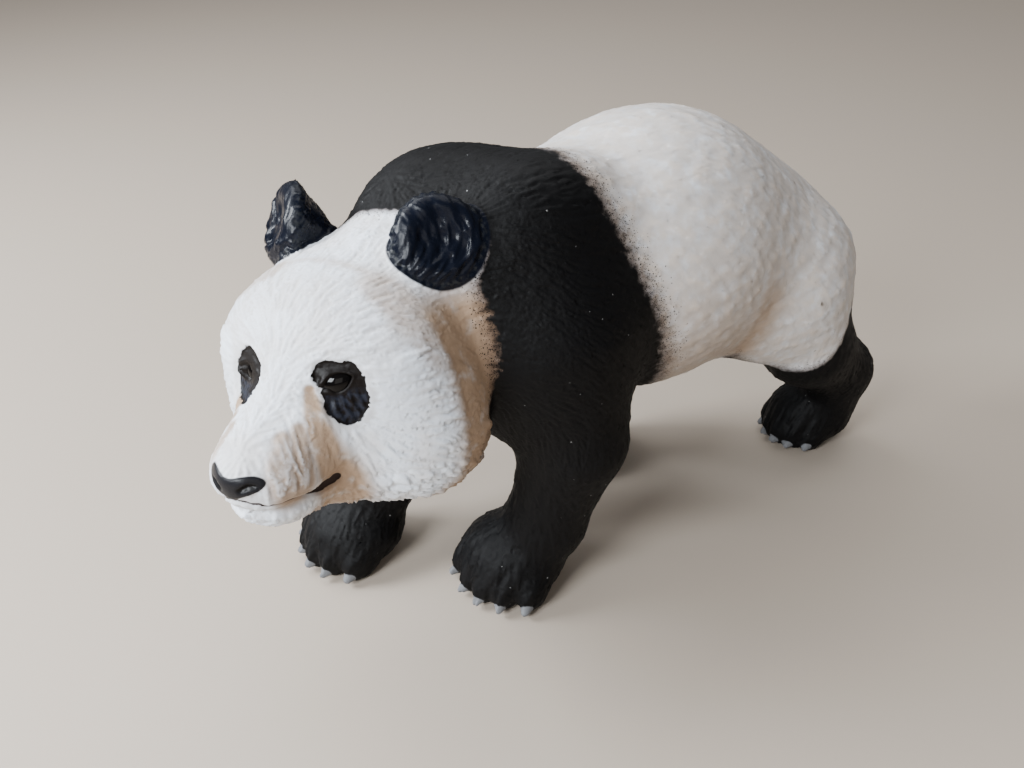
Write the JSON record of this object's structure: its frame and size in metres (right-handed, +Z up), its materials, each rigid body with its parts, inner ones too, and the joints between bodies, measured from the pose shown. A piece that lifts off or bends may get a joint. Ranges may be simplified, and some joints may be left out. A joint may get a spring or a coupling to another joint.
{
  "type": "panda figurine",
  "caption": "Giant panda figurine moulded in one piece of painted plastic, walking with its head low and turned to its left, standing on flat-soled paws.",
  "frame": {"origin": "on the ground under the middle of the figure's box", "axes": "+Z up, -Y the way the animal walks, +X its left side"},
  "size_m": [0.0352, 0.098, 0.0555],
  "materials": {
    "painted_plastic": "satin painted plastic, cream white with black limbs, shoulders, ears and eye patches"
  },
  "bodies": {
    "root": {"panda_figurine": "painted_plastic"}
  },
  "joints": []
}
